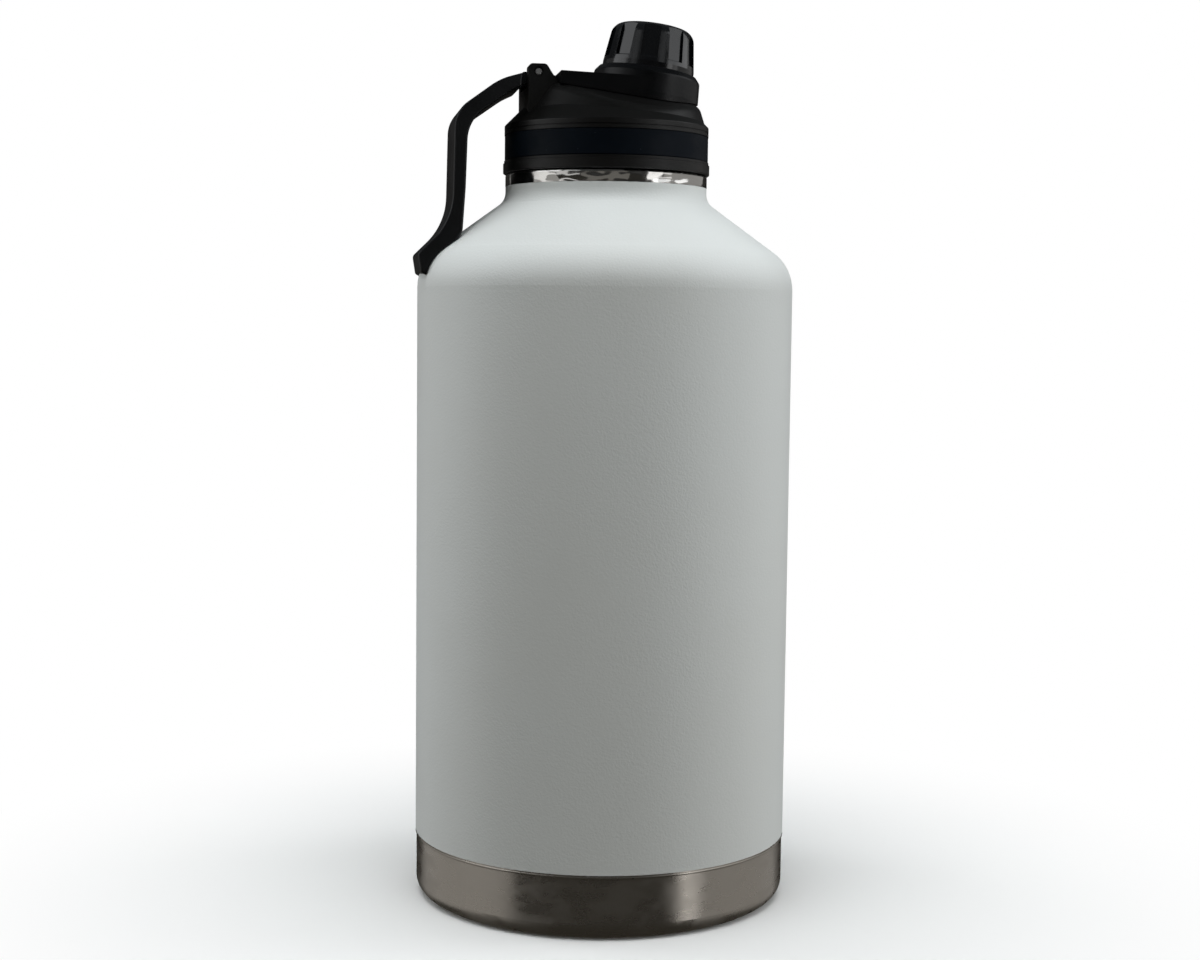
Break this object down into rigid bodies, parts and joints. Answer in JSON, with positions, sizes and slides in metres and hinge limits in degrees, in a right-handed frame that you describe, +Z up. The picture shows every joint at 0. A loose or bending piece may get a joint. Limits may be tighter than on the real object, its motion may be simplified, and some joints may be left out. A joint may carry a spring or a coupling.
{
  "type": "vacuum-insulated water jug",
  "caption": "Large vacuum-insulated steel water jug with screw lid, side carry handle and hinged chug cap over an offset spout.",
  "frame": {"origin": "centre of the round base on the surface that the jug stands on", "axes": "+Z up along the bottle; +X towards the spout and cap; the handle hangs on the -X side; the XZ plane is the plane of symmetry"},
  "size_m": [0.1218, 0.121, 0.2818],
  "materials": {
    "powder_coat": "white powder coat with a fine orange-peel texture on steel",
    "brushed_steel": "bare stainless steel, brushed round the base",
    "polished_steel": "polished stainless steel at the lip, satin inside",
    "seal_glass": "fused sealing glass",
    "getter_metal": "sintered metal tablet",
    "lid_plastic": "black moulded polypropylene, fine grain",
    "handle_plastic": "black moulded plastic strap, fine grain",
    "cap_plastic": "black moulded plastic, semi-gloss",
    "plug_plastic": "black moulded polypropylene",
    "spout_plastic": "black moulded plastic",
    "band_rubber": "smooth blue-black silicone",
    "silicone": "translucent grey food-grade silicone",
    "foam": "white foam insulation",
    "pin_steel": "turned stainless steel"
  },
  "bodies": {
    "bottle": {"outer_shell": "powder_coat", "base_cup": "brushed_steel", "inner_vessel": "polished_steel", "vacuum_plug": "seal_glass", "getter": "getter_metal"},
    "lid_seal": {"lid_gasket": "silicone"},
    "lid": {"lid_cover": "lid_plastic", "grip_band": "band_rubber", "lid_plug": "plug_plastic", "lid_foam": "foam", "spout": "spout_plastic", "hinge_pin": "pin_steel"},
    "handle": {"handle": "handle_plastic"},
    "cap_arm": {"cap_arm": "lid_plastic"},
    "cap_seal": {"cap_gasket": "silicone"},
    "spout_cap": {"spout_cap": "cap_plastic", "cap_liner": "plug_plastic"}
  },
  "joints": [
    {"name": "lid_lift", "type": "slide", "parent": "bottle", "child": "lid_seal", "axis": [0, 0, 1], "range_m": [0, 0.007]},
    {"name": "lid_twist", "type": "hinge", "parent": "lid_seal", "child": "lid", "pos_m": [0, 0, 0.2331], "axis": [0, 0, 1], "range_deg": [0, 631]},
    {"name": "handle_swing", "type": "hinge", "parent": "lid", "child": "handle", "pos_m": [-0.0238, 0, 0.264], "axis": [0, 1, 0], "range_deg": [0, 80]},
    {"name": "arm_swing", "type": "hinge", "parent": "lid", "child": "cap_arm", "pos_m": [-0.0238, 0, 0.264], "axis": [0, -1, 0], "range_deg": [0, 90]},
    {"name": "cap_lift", "type": "slide", "parent": "cap_arm", "child": "cap_seal", "axis": [0.1305, 0, 0.9914], "range_m": [0, 0.003]},
    {"name": "cap_twist", "type": "hinge", "parent": "cap_seal", "child": "spout_cap", "pos_m": [0.0121, 0, 0.25805], "axis": [0.1305, 0, 0.9914], "range_deg": [0, 181]}
  ],
  "couplings": [
    {"joint": "lid_twist", "follows": "lid_lift", "rad_per_m": 1570.8},
    {"joint": "cap_twist", "follows": "cap_lift", "rad_per_m": 1047.2}
  ]
}
